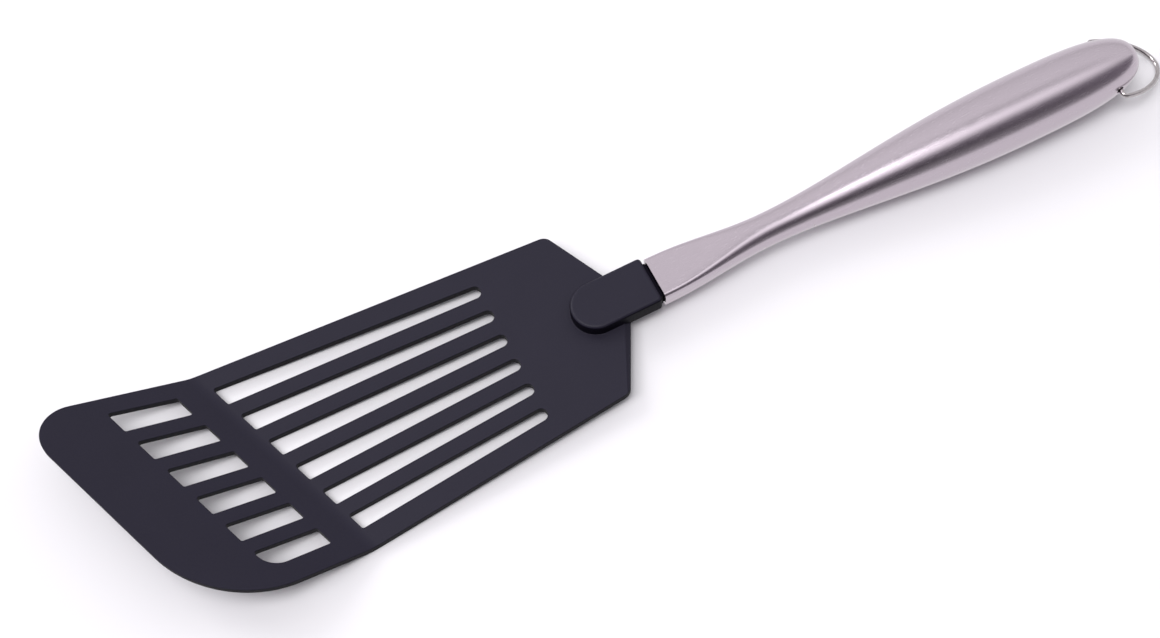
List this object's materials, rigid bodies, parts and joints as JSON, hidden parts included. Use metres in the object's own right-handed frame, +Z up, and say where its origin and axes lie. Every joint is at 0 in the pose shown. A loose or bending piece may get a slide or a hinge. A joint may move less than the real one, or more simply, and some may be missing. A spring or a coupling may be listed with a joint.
{
  "type": "slotted turner",
  "caption": "Kitchen turner: flat slotted black nylon blade with an upturned oblique front lip, hollow brushed-steel handle with a slim neck, and a swinging wire ring to hang it by.",
  "frame": {"origin": "on the table under the middle of the turner, which lies on the crease of its blade and the belly of its grip", "axes": "+X along the handle from the blade to the tail, +Y towards the long front corner of the blade, +Z up from the table"},
  "size_m": [0.3606, 0.079, 0.0223],
  "materials": {
    "nylon_black": "moulded, fine matte grain",
    "steel_brushed": "satin, brushed along the handle",
    "cement": "cured, dull",
    "steel_wire": "drawn and polished"
  },
  "bodies": {
    "spatula": {"blade_head": "nylon_black", "handle_upper_shell": "steel_brushed", "handle_lower_shell": "steel_brushed", "tang_cement": "cement"},
    "ring": {"hanging_ring": "steel_wire"}
  },
  "joints": [
    {"name": "ring_swing", "type": "hinge", "parent": "spatula", "child": "ring", "pos_m": [0.15983, -0.00028, 0.01199], "axis": [-0.0002, 0.9999, 0.0127], "range_deg": [-144, 80]}
  ]
}
